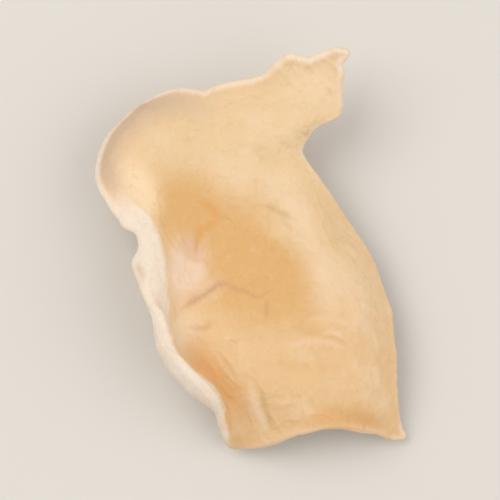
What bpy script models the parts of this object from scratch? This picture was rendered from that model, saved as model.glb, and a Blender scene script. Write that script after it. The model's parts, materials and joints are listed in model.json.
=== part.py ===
"""One dried ear of a pale, wood-growing jelly fungus, cut from its log.

The ear is a thin leathery sheet that grew from a short stalk and curled as it
dried. It lies on the flat cut end of its stalk and on the low parts of its
margin. The origin is the centre of the cut, +Z is up, +Y runs towards the ear's
upper margin. Lengths are in millimetres until they reach the mesh.
"""

import math

import bmesh
import bpy
import numpy as np
from mathutils import Vector
from mathutils.bvhtree import BVHTree

MILLIMETRE = 0.001

# Driving dimensions
SHEET_THICKNESS = 1.25
MARGIN_ROUNDING = 0.32
LINE_OF_SIGHT = math.radians(80)
COLUMNS = 36
STEPS_BETWEEN_SECTIONS = 3
RELAXING_STEPS = 2
SHARP_MARGIN = math.radians(50)

# The smooth side, as cross sections from the upper margin down to the lower one.
# Each runs from the left margin to the right margin. A point is (across, up, height):
# across and up are measured square to a line of sight 80 degrees above the horizon,
# and height is above the surface that the ear lies on.
SECTIONS = [
    # Upper margin, from the round lobe to the tip of the tab
    [(-12.1, 12.3, 7.0), (-9.9, 13.5, 7.8), (-7.2, 14.5, 8.3), (-4.0, 14.0, 8.4),
     (-1.1, 15.0, 8.7), (2.8, 15.6, 9.4), (4.7, 16.7, 10.3), (6.7, 18.4, 11.3),
     (9.0, 17.9, 11.4), (11.7, 19.0, 12.0), (13.9, 19.0, 13.0)],
    [(-14.9, 9.6, 6.9), (-13.3, 10.3, 7.9), (-10.8, 11.3, 8.5), (-7.6, 12.2, 8.6),
     (-3.6, 12.2, 8.3), (0.0, 13.1, 8.5), (3.6, 14.0, 9.2), (6.8, 15.5, 10.0),
     (10.1, 15.8, 10.3), (13.1, 15.7, 11.0)],
    [(-16.7, 7.2, 6.6), (-15.1, 7.6, 7.9), (-12.6, 8.3, 8.6), (-9.0, 9.0, 8.5),
     (-4.7, 9.4, 8.0), (0.0, 10.1, 8.3), (4.3, 11.2, 9.0), (8.3, 12.4, 9.6),
     (11.2, 12.8, 9.7), (13.1, 13.1, 9.9)],
    [(-17.3, 4.7, 6.6), (-15.7, 4.9, 7.9), (-13.0, 5.4, 8.6), (-9.4, 5.9, 8.4),
     (-5.0, 6.5, 7.8), (-0.4, 7.0, 8.1), (4.3, 7.9, 8.8), (7.9, 9.4, 9.2),
     (10.4, 10.2, 9.1), (12.5, 10.8, 8.9)],
    # Notch in the right margin, below the tab
    [(-17.1, 2.5, 7.2), (-15.5, 2.7, 8.2), (-13.0, 3.1, 8.7), (-9.7, 3.4, 8.3),
     (-5.8, 4.0, 7.6), (-1.8, 4.5, 7.6), (2.2, 5.4, 8.2), (5.4, 6.5, 8.5), (8.1, 7.6, 8.0)],
    [(-15.7, 0.0, 8.2), (-14.0, 0.2, 8.9), (-11.9, 0.4, 8.8), (-9.0, 0.5, 8.0),
     (-5.0, 0.9, 7.3), (-0.7, 1.4, 7.4), (3.2, 2.2, 8.0), (6.8, 3.1, 8.3), (9.8, 4.1, 7.0)],
    [(-13.6, -2.5, 9.4), (-12.2, -2.4, 9.6), (-10.3, -2.3, 9.0), (-7.6, -2.3, 7.8),
     (-3.6, -2.2, 7.0), (0.7, -1.8, 7.1), (5.0, -1.1, 7.8), (9.0, -0.2, 8.3),
     (12.2, 0.5, 6.0)],
    # The left margin bends outward here in a small flap
    [(-11.9, -4.7, 9.6), (-10.8, -4.6, 10.1), (-9.2, -4.7, 9.3), (-6.8, -4.7, 7.9),
     (-3.2, -4.7, 6.9), (1.1, -4.5, 7.0), (5.8, -4.0, 7.7), (10.4, -3.2, 8.3),
     (14.4, -2.7, 5.2)],
    [(-12.9, -7.4, 9.2), (-11.7, -7.5, 10.2), (-10.2, -7.6, 10.5), (-8.5, -7.6, 9.3),
     (-6.1, -7.6, 7.7), (-2.5, -7.6, 6.8), (1.8, -7.4, 7.0), (6.8, -6.8, 7.8),
     (12.1, -6.1, 8.2), (16.6, -6.1, 4.6)],
    [(-11.7, -10.4, 10.6), (-10.9, -10.5, 10.9), (-9.8, -10.5, 10.3), (-8.4, -10.4, 9.0),
     (-5.8, -10.4, 7.7), (-1.8, -10.4, 6.9), (2.9, -10.3, 7.2), (7.9, -9.9, 7.9),
     (13.5, -9.4, 8.1), (18.2, -9.9, 4.2)],
    # From here the left margin stands up and leans in over a groove
    [(-9.6, -13.0, 11.5), (-9.5, -13.0, 10.2), (-8.8, -13.0, 8.9), (-7.3, -13.0, 7.7),
     (-4.3, -13.0, 7.0), (-0.4, -12.9, 7.2), (4.3, -12.6, 7.6), (9.4, -12.2, 8.2),
     (14.6, -11.9, 8.1), (19.1, -12.8, 4.2)],
    [(-8.4, -15.3, 11.4), (-9.0, -15.5, 10.3), (-8.6, -15.6, 8.9), (-7.2, -15.7, 7.6),
     (-4.7, -15.7, 7.2), (-0.7, -15.5, 7.5), (4.3, -15.1, 7.9), (9.7, -14.8, 8.4),
     (15.1, -14.4, 8.0), (19.5, -15.3, 4.2)],
    [(-7.1, -18.0, 11.0), (-8.2, -18.4, 10.0), (-7.6, -18.5, 8.4), (-6.1, -18.6, 6.8),
     (-4.0, -18.5, 6.6), (0.0, -18.4, 7.5), (5.0, -18.0, 8.2), (10.4, -17.8, 8.5),
     (15.5, -17.6, 7.6), (19.8, -18.7, 4.2)],
    [(-5.0, -20.5, 10.8), (-6.4, -21.0, 9.7), (-5.8, -21.2, 7.9), (-4.3, -21.2, 6.2),
     (-2.5, -21.1, 6.1), (1.1, -20.9, 7.4), (6.1, -20.7, 8.3), (11.2, -20.7, 8.4),
     (15.8, -20.9, 7.2), (19.9, -21.8, 3.8)],
    [(-2.6, -23.0, 9.7), (-3.6, -23.5, 8.6), (-3.2, -23.8, 6.9), (-2.2, -23.8, 5.7),
     (-0.4, -23.6, 5.6), (2.9, -23.4, 7.0), (7.2, -23.2, 8.0), (11.9, -23.4, 8.0),
     (16.2, -23.8, 6.5), (20.1, -24.3, 3.2)],
    # The lip runs out
    [(-1.7, -25.2, 8.0), (-1.7, -25.4, 6.7), (-1.0, -25.5, 5.5), (0.4, -25.6, 4.8),
     (3.2, -25.2, 6.1), (7.6, -24.9, 7.5), (12.2, -25.0, 7.6), (16.7, -25.6, 5.8),
     (20.3, -26.3, 2.5)],
    [(-1.4, -27.6, 5.7), (-1.0, -27.7, 4.8), (-0.1, -27.7, 4.0), (1.3, -27.7, 3.9),
     (3.8, -27.3, 5.0), (7.6, -26.6, 6.9), (11.9, -26.3, 7.3), (16.6, -26.9, 4.9),
     (20.7, -27.8, 1.8)],
    # Lower margin, arched between its two pointed corners
    [(-0.8, -30.2, 2.1), (0.0, -30.3, 1.6), (1.4, -30.3, 2.2), (3.0, -30.0, 3.4),
     (4.7, -29.4, 4.7), (6.8, -28.5, 5.9), (9.0, -27.9, 6.6), (11.5, -27.4, 6.9),
     (14.0, -27.4, 6.3), (16.2, -27.9, 4.8), (18.2, -28.5, 3.0), (19.7, -29.2, 1.8),
     (21.0, -28.9, 1.2)],
]

# The stalk, as rings from the cut up to the sheet: (radius, share of the way up)
STALK_RINGS = [(1.1, 0.0), (2.3, 0.0), (2.55, 0.07), (2.35, 0.35), (2.6, 0.62), (3.2, 0.82),
               (4.3, 0.96)]
STALK_ROOT_RADII = (5.3, 4.2, 3.0, 1.5)
STALK_ROOT_DEPTH = 0.62
STALK_SPOKES = 42

# The folds that run down the stalk and out over the sheet's outer side. The sway spreads
# them unevenly, and the strongest are stronger than the mean by the variation.
FOLDS = 7
FOLD_SWAY = 0.9
FOLD_STRENGTH = 0.78
FOLD_VARIATION = 0.22
FOLD_NARROWNESS = 1.5
FOLD_HEIGHT = 1.2
FOLD_START = 1.5
FOLD_CREST = 4.5
FOLD_END = 13.0

# How far the folds spread the stalk's rings, and the share of it that is left at the cut
FOLD_REACH = 0.26
FOLD_MIDDLE = 0.4
FOLD_SHARE_AT_CUT = 0.4

CREAM = (0.86, 0.69, 0.47, 1.0)


def clear_scene():
    """Empties the scene before the ear is modelled."""
    for obj in list(bpy.data.objects):
        bpy.data.objects.remove(obj)


def new_collection(name):
    """Makes a collection and links it to the scene."""
    collection = bpy.data.collections.new(name)
    bpy.context.scene.collection.children.link(collection)
    return collection


def from_sight(across, up, height):
    """Turns a point measured square to the line of sight into x, y, z."""
    y = (up - height * math.cos(LINE_OF_SIGHT)) / math.sin(LINE_OF_SIGHT)
    return (across, y, height)


def natural_spline(knots, points, at):
    """Evaluates the natural cubic spline through points at the given parameters."""
    knots = np.asarray(knots, float)
    points = np.asarray(points, float)
    gaps = np.diff(knots)
    system = np.eye(len(knots))
    bend = np.zeros_like(points)
    for i in range(1, len(knots) - 1):
        system[i, i - 1:i + 2] = gaps[i - 1], 2 * (gaps[i - 1] + gaps[i]), gaps[i]
        slope_after = (points[i + 1] - points[i]) / gaps[i]
        slope_before = (points[i] - points[i - 1]) / gaps[i - 1]
        bend[i] = 6 * (slope_after - slope_before)
    bend = np.linalg.solve(system, bend)
    i = np.clip(np.searchsorted(knots, at, side="right") - 1, 0, len(gaps) - 1)
    gap = gaps[i][:, None]
    after = (at - knots[i])[:, None]
    before = gap - after
    return (
        (bend[i] * before**3 + bend[i + 1] * after**3) / (6 * gap)
        + (points[i] / gap - bend[i] * gap / 6) * before
        + (points[i + 1] / gap - bend[i + 1] * gap / 6) * after
    )


def along(points, count):
    """Returns count + 1 points evenly spaced along the spline through points."""
    samples = 20 * count
    points = np.asarray(points, float)
    steps = np.linalg.norm(np.diff(points, axis=0), axis=1)
    knots = np.concatenate([[0], np.cumsum(steps)])
    fine_at = np.linspace(0, knots[-1], samples)
    fine = natural_spline(knots, points, fine_at)
    travelled = np.concatenate([[0], np.cumsum(np.linalg.norm(np.diff(fine, axis=0), axis=1))])
    at = np.interp(np.linspace(0, travelled[-1], count + 1), travelled, fine_at)
    return natural_spline(knots, points, at)


def sheet_points():
    """Lofts the smooth side through its cross sections, as rows of x, y, z points."""
    sections = np.array(
        [along([from_sight(*point) for point in section], COLUMNS) for section in SECTIONS]
    )
    rows = (len(SECTIONS) - 1) * STEPS_BETWEEN_SECTIONS
    at = np.linspace(0, len(SECTIONS) - 1, rows + 1)
    columns = [
        natural_spline(np.arange(len(SECTIONS)), sections[:, column], at)
        for column in range(COLUMNS + 1)
    ]
    return np.stack(columns, axis=1)


def thin_sheet(collection):
    """Models the sheet: a grid moved onto the smooth side, given its thickness."""
    points = sheet_points()
    rows = len(points) - 1
    bm = bmesh.new()
    bmesh.ops.create_grid(bm, x_segments=COLUMNS, y_segments=rows, size=0.5)
    for vert in bm.verts:
        column = round((vert.co.x + 0.5) * COLUMNS)
        row = round((0.5 - vert.co.y) * rows)
        vert.co = Vector(points[row, column]) * MILLIMETRE
    mesh = bpy.data.meshes.new("open_sheet")
    bm.to_mesh(mesh)
    bm.free()
    sheet = bpy.data.objects.new("open_sheet", mesh)
    collection.objects.link(sheet)

    relaxed = sheet.modifiers.new("relaxed", "SMOOTH")
    relaxed.factor = 0.5
    relaxed.iterations = RELAXING_STEPS

    shell = sheet.modifiers.new("thickness", "SOLIDIFY")
    shell.thickness = SHEET_THICKNESS * MILLIMETRE
    shell.offset = -1
    shell.use_even_offset = True
    shell.use_quality_normals = True

    rounding = sheet.modifiers.new("rounded_margin", "BEVEL")
    rounding.width = MARGIN_ROUNDING * MILLIMETRE
    rounding.segments = 1
    rounding.limit_method = "ANGLE"
    rounding.angle_limit = SHARP_MARGIN
    return sheet


def fold(angle):
    """How much of a fold there is along this angle round the stalk, from 0 to 1."""
    phase = FOLDS * angle + FOLD_SWAY * math.sin(angle) + FOLD_SWAY * math.sin(2 * angle + 1)
    strength = FOLD_STRENGTH + FOLD_VARIATION * math.cos(2 * angle + 2)
    return strength * (0.5 + 0.5 * math.cos(phase)) ** FOLD_NARROWNESS


def fold_height(radius):
    """How high the folds stand at this distance from the stalk's middle."""
    rise = (radius - FOLD_START) / (FOLD_CREST - FOLD_START)
    fall = (FOLD_END - radius) / (FOLD_END - FOLD_CREST)
    return FOLD_HEIGHT * max(0.0, min(rise, fall))


def settled_copy(obj, name, collection):
    """Makes a plain mesh of the sheet, folded round the stalk and flat where it rests."""
    graph = bpy.context.evaluated_depsgraph_get()
    mesh = bpy.data.meshes.new_from_object(obj.evaluated_get(graph))
    moves = []
    for vert in mesh.vertices:
        radius = vert.co.xy.length / MILLIMETRE
        if radius < FOLD_END and vert.normal.z < 0:
            height = fold_height(radius) * fold(math.atan2(vert.co.y, vert.co.x))
            moves.append((vert, vert.normal * -vert.normal.z * height * MILLIMETRE))
    for vert, move in moves:
        vert.co += move
    for vert in mesh.vertices:
        vert.co.z = max(vert.co.z, 0.0)
    copy = bpy.data.objects.new(name, mesh)
    collection.objects.link(copy)
    bpy.data.objects.remove(obj)
    return copy


def underside_height(tree, x, y):
    """Height of the sheet's lower side above a place on the surface, in metres."""
    hit = tree.ray_cast(Vector((x, y, -1.0)), Vector((0, 0, 1)))[0]
    return hit.z


def stalk(sheet, collection):
    """Models the stalk: rings from the cut that flare in folds into the sheet."""
    graph = bpy.context.evaluated_depsgraph_get()
    tree = BVHTree.FromObject(sheet, graph)
    bm = bmesh.new()
    rings = []
    for radius, share in STALK_RINGS:
        rings.append(stalk_ring(bm, tree, radius, share, 0.0))
    for radius in STALK_ROOT_RADII:
        rings.append(stalk_ring(bm, tree, radius, 1.0, STALK_ROOT_DEPTH))
    for lower, upper in zip(rings, rings[1:]):
        edges = [bm.edges.get(pair) for ring in (lower, upper) for pair in ring_pairs(ring)]
        bmesh.ops.bridge_loops(bm, edges=edges)
    for ring in (rings[0], rings[-1]):
        bm.faces.new(ring)
    bmesh.ops.recalc_face_normals(bm, faces=bm.faces)
    mesh = bpy.data.meshes.new("stalk")
    bm.to_mesh(mesh)
    bm.free()
    mesh.shade_smooth()
    obj = bpy.data.objects.new("stalk", mesh)
    collection.objects.link(obj)
    obj.hide_render = True
    obj.display_type = "WIRE"
    return obj


def ring_pairs(ring):
    """The neighbouring pairs of verts round a ring."""
    return zip(ring, ring[1:] + ring[:1])


def stalk_ring(bm, tree, radius, share, depth):
    """Adds one closed ring of the stalk, a share of the way up to the sheet."""
    verts = []
    for spoke in range(STALK_SPOKES):
        angle = 2 * math.pi * spoke / STALK_SPOKES
        reach = FOLD_REACH * (FOLD_SHARE_AT_CUT + (1 - FOLD_SHARE_AT_CUT) * share)
        spread = 1 + reach * (fold(angle) - FOLD_MIDDLE)
        x = radius * spread * math.cos(angle) * MILLIMETRE
        y = radius * spread * math.sin(angle) * MILLIMETRE
        z = underside_height(tree, x, y) * share + depth * MILLIMETRE
        verts.append(bm.verts.new((x, y, z)))
    for pair in ring_pairs(verts):
        bm.edges.new(pair)
    return verts


def dried_flesh():
    """The material of the dried flesh: waxy cream."""
    material = bpy.data.materials.new("dried_flesh")
    material.use_nodes = True
    surface = material.node_tree.nodes["Principled BSDF"]
    surface.inputs["Base Color"].default_value = CREAM
    surface.inputs["Roughness"].default_value = 0.55
    surface.inputs["Metallic"].default_value = 0.0
    return material


def main():
    """Models the whole ear as one solid."""
    clear_scene()
    parts = new_collection("dried_fungus_ear")
    cutters = new_collection("joined_shapes")

    ear = settled_copy(thin_sheet(parts), "fungus_ear", parts)
    join = ear.modifiers.new("grown_from_stalk", "BOOLEAN")
    join.operation = "UNION"
    join.object = stalk(ear, cutters)

    ear.data.materials.clear()
    ear.data.materials.append(dried_flesh())
    ear.data.shade_smooth()
    ear.data.set_sharp_from_angle(angle=SHARP_MARGIN)


main()
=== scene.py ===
"""Dresses one dried ear of snow fungus, cut from its log and laid on a pale floor.

The ear is modelled from its own smooth side: that side is refined, marked and creased,
given its uneven thickness and its rounded rim, folded on the outside and grown together
with a puckered stalk. Lengths are in millimetres until they reach a mesh. Places on the
ear are given as (across, up), measured square to the line of sight, from the middle of
the stalk's cut.
"""

import json
import logging
import math
from collections.abc import Iterator, Sequence
from contextlib import contextmanager
from dataclasses import dataclass
from enum import Enum

import bpy
import numpy as np
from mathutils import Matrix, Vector, kdtree, noise

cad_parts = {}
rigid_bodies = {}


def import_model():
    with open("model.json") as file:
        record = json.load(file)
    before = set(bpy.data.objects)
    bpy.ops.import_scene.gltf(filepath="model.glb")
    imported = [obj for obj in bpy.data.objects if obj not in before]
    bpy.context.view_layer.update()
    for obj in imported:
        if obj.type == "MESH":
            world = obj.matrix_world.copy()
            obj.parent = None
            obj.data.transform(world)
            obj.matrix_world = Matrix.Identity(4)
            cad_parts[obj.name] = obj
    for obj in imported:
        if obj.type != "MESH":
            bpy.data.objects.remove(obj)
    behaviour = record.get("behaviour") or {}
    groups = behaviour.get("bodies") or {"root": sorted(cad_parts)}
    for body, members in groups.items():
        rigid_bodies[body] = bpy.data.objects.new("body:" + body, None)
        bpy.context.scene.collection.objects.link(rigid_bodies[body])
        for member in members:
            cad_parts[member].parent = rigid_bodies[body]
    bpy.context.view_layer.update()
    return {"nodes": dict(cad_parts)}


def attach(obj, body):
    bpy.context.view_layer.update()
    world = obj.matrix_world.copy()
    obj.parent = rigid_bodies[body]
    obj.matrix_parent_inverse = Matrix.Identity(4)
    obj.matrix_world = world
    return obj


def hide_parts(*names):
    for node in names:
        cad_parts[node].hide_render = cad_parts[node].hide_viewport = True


LOG = logging.getLogger("dried_fungus_ear")

MM = 0.001
LINE_OF_SIGHT = math.radians(80)
CAD_NODE = "fungus_ear"

# How a stroke thins out: over which share of its length, and what is left at its end
THIN_END = 0.3
END_WIDTH = 0.55
END_DEPTH = 0.35

Place = tuple[float, float]
Span = tuple[float, float]
Triple = tuple[float, float, float]
Colour = tuple[float, float, float, float]
Piece = bpy.types.Object
Socket = bpy.types.NodeSocket


def srgb(*channels: int) -> Colour:
    """Turns a screen colour into a linear one with full alpha.

    Args:
        *channels: Red, green and blue, from 0 to 255.

    Returns:
        The linear colour.
    """
    shares = [channel / 255 for channel in channels]
    linear = [share / 12.92 if share <= 0.04045 else ((share + 0.055) / 1.055) ** 2.4
              for share in shares]
    return (*linear, 1.0)


def smooth_step(values: np.ndarray, low: float, high: float) -> np.ndarray:
    """Rises smoothly from 0 at low to 1 at high.

    Args:
        values: The numbers to judge.
        low: Where the rise starts.
        high: Where it ends. It may be below low, and the rise is then a fall.

    Returns:
        A number from 0 to 1 for each value.
    """
    share = np.clip((values - low) / (high - low), 0, 1)
    return share * share * (3 - 2 * share)


def at_least(least: float, share: "np.ndarray | Signal") -> "np.ndarray | Signal":
    """Squeezes shares of 0 to 1 into the range from the least to 1."""
    return least + (1 - least) * share


def places_of(points: np.ndarray) -> np.ndarray:
    """Finds where points lie as the camera sees them.

    Args:
        points: Rows of x, y, z in metres.

    Returns:
        Rows of (across, up) in millimetres.
    """
    up = points[:, 1] * math.sin(LINE_OF_SIGHT) + points[:, 2] * math.cos(LINE_OF_SIGHT)
    return np.column_stack([points[:, 0], up]) / MM


def round_stalk(points: np.ndarray) -> tuple[np.ndarray, np.ndarray]:
    """How far points lie from the stalk's axis, in millimetres, and at which angle."""
    return np.hypot(points[:, 0], points[:, 1]) / MM, np.arctan2(points[:, 1], points[:, 0])


def softened(path: Sequence[Place], rounds: int = 3, cut: float = 0.25) -> np.ndarray:
    """Cuts the corners of a bent line until it is a smooth one.

    Args:
        path: The corners of the line.
        rounds: How often the corners are cut.
        cut: How much of each side is cut off at its ends.

    Returns:
        Rows of (across, up) along the smooth line.
    """
    points = np.array(path, float)
    for _ in range(rounds):
        starts, ends = points[:-1], points[1:]
        cuts = np.stack([(1 - cut) * starts + cut * ends,
                         cut * starts + (1 - cut) * ends], axis=1)
        points = np.vstack([points[:1], cuts.reshape(-1, 2), points[-1:]])
    return points


def nearness(places: np.ndarray, path: Sequence[Place], width: float) -> np.ndarray:
    """Tells how near places are to a line that thins out towards its ends.

    Args:
        places: Rows of (across, up).
        path: The corners of the line, which is softened first.
        width: The line's width, in millimetres.

    Returns:
        1 on the line, falling smoothly to 0 beside it and past its ends.
    """
    line = softened(path)
    steps = np.linalg.norm(np.diff(line, axis=0), axis=1)
    travelled = np.concatenate([[0], np.cumsum(steps)]) / steps.sum()
    nearest = np.full(len(places), np.inf)
    passed = np.zeros(len(places))
    for index, (start, end) in enumerate(zip(line, line[1:])):
        run = end - start
        share = np.clip((places - start) @ run / (run @ run), 0, 1)
        gap = np.linalg.norm(places - start - share[:, None] * run, axis=1)
        at = travelled[index] + share * (travelled[index + 1] - travelled[index])
        passed = np.where(gap < nearest, at, passed)
        nearest = np.minimum(nearest, gap)
    thinning = smooth_step(passed, 0.0, THIN_END) * smooth_step(passed, 1.0, 1 - THIN_END)
    reach = 0.5 * width * at_least(END_WIDTH, thinning)
    return np.exp(-(nearest / reach) ** 2) * at_least(END_DEPTH, thinning)


@dataclass(frozen=True)
class Clouds:
    """A soft random field.

    Attributes:
        size: The size of its clouds, in the unit of the points that it is asked for.
        seed: Picks one field among many.
    """

    size: float
    seed: float

    def over(self, points: np.ndarray) -> np.ndarray:
        """A number from about -1 to 1 for each row of x, y, z."""
        shift = Vector((self.seed, self.seed, self.seed))
        return np.array([noise.noise(Vector(point) / self.size + shift) for point in points])

    def share(self, points: np.ndarray) -> np.ndarray:
        """The same, but from about 0 to 1."""
        return 0.5 + 0.5 * self.over(points)

    def lines(self, points: np.ndarray, breadth: float) -> np.ndarray:
        """A net of winding lines: 1 on a line, falling to 0 beside it over a breadth."""
        return smooth_step(np.abs(self.over(points)), breadth, 0.0)


class Tint(Enum):
    """The colours that lines carry: their own stains, with painted shade and light on some."""

    VEIN = "vein"
    OLIVE = "olive"
    AMBER = "amber"
    PALE = "pale"


@dataclass(frozen=True)
class Stroke:
    """A line on the smooth side: a crease, ridge, vein or valley.

    Attributes:
        path: Its corners, as (across, up).
        width: How wide it is, in millimetres.
        height: How far it stands out, or sinks in where negative.
        tint: The colour along it: a stain, on some lines with painted shade and light.
        strength: How strong that colour is, from 0 to 1.
    """

    path: tuple[Place, ...]
    width: float
    height: float
    tint: Tint
    strength: float


@dataclass(frozen=True)
class Nick:
    """A pull at one point of the margin.

    Attributes:
        place: The point of the margin nearest to this (across, up) is pulled.
        pull: How far it is pulled, across, up and in height.
        reach: How far along the margin the pull is felt.
    """

    place: Place
    pull: Triple
    reach: float


STROKES = (
    # The light ridge between the honey-coloured hollow and the right shoulder
    Stroke(((1.4, 5.8), (5.0, 1.4), (7.9, -2.2), (10.1, -6.5), (11.5, -11.9), (11.3, -16.2)),
           3.4, 0.24, Tint.PALE, 0.25),
    # Short olive crease and the strokes left of it
    Stroke(((3.0, -0.1), (5.2, -0.9), (7.6, -2.1)), 0.95, -0.11, Tint.OLIVE, 0.45),
    Stroke(((-5.1, -5.8), (-4.4, -3.6), (-3.1, -2.5), (-1.6, -1.5)),
           1.2, -0.09, Tint.AMBER, 0.75),
    Stroke(((-4.4, 0.2), (-3.0, -0.5), (-1.5, -2.1)), 1.2, -0.07, Tint.AMBER, 0.8),
    # Fine veins across the lower half
    Stroke(((-6.8, -13.0), (-3.8, -11.2), (-1.5, -9.5), (-0.2, -10.4)),
           0.8, -0.09, Tint.VEIN, 0.6),
    Stroke(((-1.6, -9.5), (-0.4, -10.3), (1.2, -10.9), (2.8, -11.7), (4.5, -10.5)),
           0.7, -0.06, Tint.VEIN, 0.42),
    Stroke(((3.9, -11.9), (3.9, -12.9), (3.5, -14.2)), 0.7, -0.05, Tint.VEIN, 0.35),
    Stroke(((-6.2, -15.0), (-4.4, -15.5), (-2.4, -14.4)), 0.7, -0.07, Tint.VEIN, 0.35),
    Stroke(((-6.8, -4.0), (-5.8, -6.3), (-3.4, -7.4), (-2.2, -9.4)), 0.9, -0.06, Tint.AMBER, 0.3),
    # Amber valley beside the lip, amber of its own and painted shade from the lip, and the small
    # ridge right of its end
    Stroke(((-5.8, -17.6), (-4.5, -19.3), (-3.0, -20.8), (-1.4, -22.4), (-0.2, -24.2),
            (0.5, -26.2)), 2.9, -0.14, Tint.AMBER, 0.68),
    Stroke(((-1.2, -23.6), (-0.1, -25.0), (0.3, -26.0)), 3.0, 0.0, Tint.AMBER, 0.45),
    Stroke(((1.9, -22.3), (2.6, -24.8), (3.8, -27.8)), 1.5, 0.2, Tint.PALE, 0.5),
    Stroke(((3.2, -22.6), (3.7, -25.2), (4.6, -27.6)), 0.9, -0.1, Tint.OLIVE, 0.5),
    # Wrinkles right of the middle, across the slope
    Stroke(((5.4, -15.9), (8.4, -15.1), (12.8, -16.5)), 0.9, -0.06, Tint.OLIVE, 0.2),
    Stroke(((6.8, -17.5), (10.2, -16.7), (13.8, -18.0)), 0.9, 0.06, Tint.PALE, 0.3),
    Stroke(((8.6, -14.2), (11.4, -14.0), (14.2, -15.2)), 0.8, 0.05, Tint.PALE, 0.25),
    Stroke(((10.2, -16.1), (12.2, -15.6), (13.6, -16.5)), 0.55, 0.08, Tint.PALE, 0.45),
    Stroke(((10.6, -16.7), (12.4, -16.2), (13.7, -17.1)), 0.5, -0.07, Tint.OLIVE, 0.35),
    Stroke(((4.2, -19.2), (8.6, -20.6), (13.2, -20.0)), 1.4, -0.06, Tint.AMBER, 0.2),
    # Cool shade along the right shoulder
    Stroke(((9.2, 1.2), (12.4, -4.3), (15.4, -9.4), (17.2, -14.9), (17.8, -20.0)),
           2.8, 0.0, Tint.OLIVE, 0.1),
    # Amber band inside the lower margin
    Stroke(((7.4, -27.0), (11.6, -26.3), (15.8, -26.7), (19.0, -28.1)),
           3.2, -0.10, Tint.AMBER, 0.62),
    # Bright edge of the felted band along the left margin, a painted highlight, and its low
    # crown, painted paler against the shade of its slope
    Stroke(((-11.9, -0.6), (-10.2, -2.8), (-9.2, -5.9), (-8.9, -8.4), (-8.8, -11.0),
            (-8.6, -14.6)), 1.1, 0.16, Tint.PALE, 0.6),
    Stroke(((-9.8, -8.4), (-9.5, -11.2), (-9.2, -13.4), (-8.8, -16.0)),
           2.2, 0.36, Tint.PALE, 0.4),
    # Hollow of the small flap left of it, and the ridge between them
    Stroke(((-12.5, -6.9), (-12.1, -8.6), (-11.5, -10.6)), 1.5, -0.24, Tint.OLIVE, 0.8),
    Stroke(((-11.0, -4.2), (-10.8, -6.8), (-10.5, -9.4), (-10.2, -12.0)),
           1.3, 0.18, Tint.PALE, 0.4),
)

# Where the felted band along the left margin ends, from its top to its foot
BAND_EDGE = (
    (-16.4, 4.6), (-14.2, 2.0), (-12.4, 0.2), (-11.2, -1.2), (-9.9, -2.8), (-9.1, -5.4),
    (-8.75, -8.0), (-8.75, -10.8), (-8.5, -13.3), (-7.9, -16.8), (-6.7, -18.7), (-5.0, -20.6),
    (-3.0, -22.2), (-1.9, -23.4), (-1.5, -25.1), (-1.2, -27.0), (-0.8, -31.0),
)

NICKS = (
    # Steps of the left margin, above and below the small flap
    Nick((-13.7, -2.6), (-0.18, -0.12, 0.0), 1.0),
    Nick((-12.4, -3.6), (0.20, 0.15, 0.0), 1.0),
    Nick((-11.9, -5.6), (0.18, 0.0, 0.0), 1.0),
    Nick((-12.9, -7.0), (-0.16, 0.16, 0.0), 1.0),
    Nick((-12.2, -9.6), (0.10, 0.0, 0.0), 1.0),
    Nick((-11.6, -11.0), (-0.14, 0.0, 0.0), 1.0),
    # Waves of the upper margin
    Nick((-3.8, 14.1), (0.0, -0.25, 0.0), 0.8),
    Nick((6.9, 18.5), (0.0, 0.15, 0.2), 1.2),
    Nick((9.1, 17.6), (0.0, -0.15, -0.1), 1.0),
    Nick((12.4, 19.2), (0.0, 0.10, 0.2), 0.8),
    Nick((14.3, 19.0), (0.25, -0.05, 0.3), 0.8),
    Nick((13.5, 17.2), (-0.55, 0.0, 0.0), 1.1),
    # Corner of the tab and the notch below it
    Nick((12.6, 11.0), (0.25, -0.1, 0.0), 0.9),
    Nick((10.2, 9.0), (-0.35, 0.35, 0.0), 2.6),
    # The pointed corner at the lower right
    Nick((20.9, -28.5), (0.2, -0.1, 0.0), 0.9),
)


@contextmanager
def editing(piece: Piece, mode: str = "VERT") -> Iterator[None]:
    """Opens a piece in edit mode, alone, and closes it again.

    Args:
        piece: The piece to edit.
        mode: What is selected: VERT, EDGE or FACE.

    Yields:
        Nothing. The edit-mode operators act on the piece meanwhile.
    """
    make_active(piece)
    bpy.ops.object.mode_set(mode="EDIT")
    bpy.ops.mesh.select_mode(type=mode)
    yield
    bpy.ops.object.mode_set(mode="OBJECT")


def make_active(piece: Piece) -> None:
    """Selects one piece and nothing else.

    Args:
        piece: The piece to select.
    """
    bpy.ops.object.select_all(action="DESELECT")
    piece.select_set(True)
    bpy.context.view_layer.objects.active = piece


def choose(piece: Piece, verts: np.ndarray | None = None,
           faces: np.ndarray | None = None) -> None:
    """Selects vertices or faces of a piece, and nothing else of it.

    Args:
        piece: The piece, in object mode.
        verts: Whether each vertex is selected.
        faces: Whether each face is selected.
    """
    mesh = piece.data
    for layer in (mesh.vertices, mesh.edges, mesh.polygons):
        layer.foreach_set("select", np.zeros(len(layer), bool))
    if verts is not None:
        mesh.vertices.foreach_set("select", verts)
    if faces is not None:
        mesh.polygons.foreach_set("select", faces)
    mesh.update()


def rows_of(vertices: bpy.types.bpy_prop_collection, name: str) -> np.ndarray:
    """Reads one vector of each vertex of a mesh.

    Args:
        vertices: The vertices, or their normals.
        name: What is read of each.

    Returns:
        Rows of x, y, z.
    """
    rows = np.zeros(3 * len(vertices), np.float32)
    vertices.foreach_get(name, rows)
    return rows.reshape(-1, 3).astype(float)


def points_of(piece: Piece) -> np.ndarray:
    """Rows of x, y, z of a piece's vertices, in metres."""
    return rows_of(piece.data.vertices, "co")


def normals_of(piece: Piece) -> np.ndarray:
    """Rows of the unit normals at a piece's vertices."""
    return rows_of(piece.data.vertex_normals, "vector")


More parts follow.
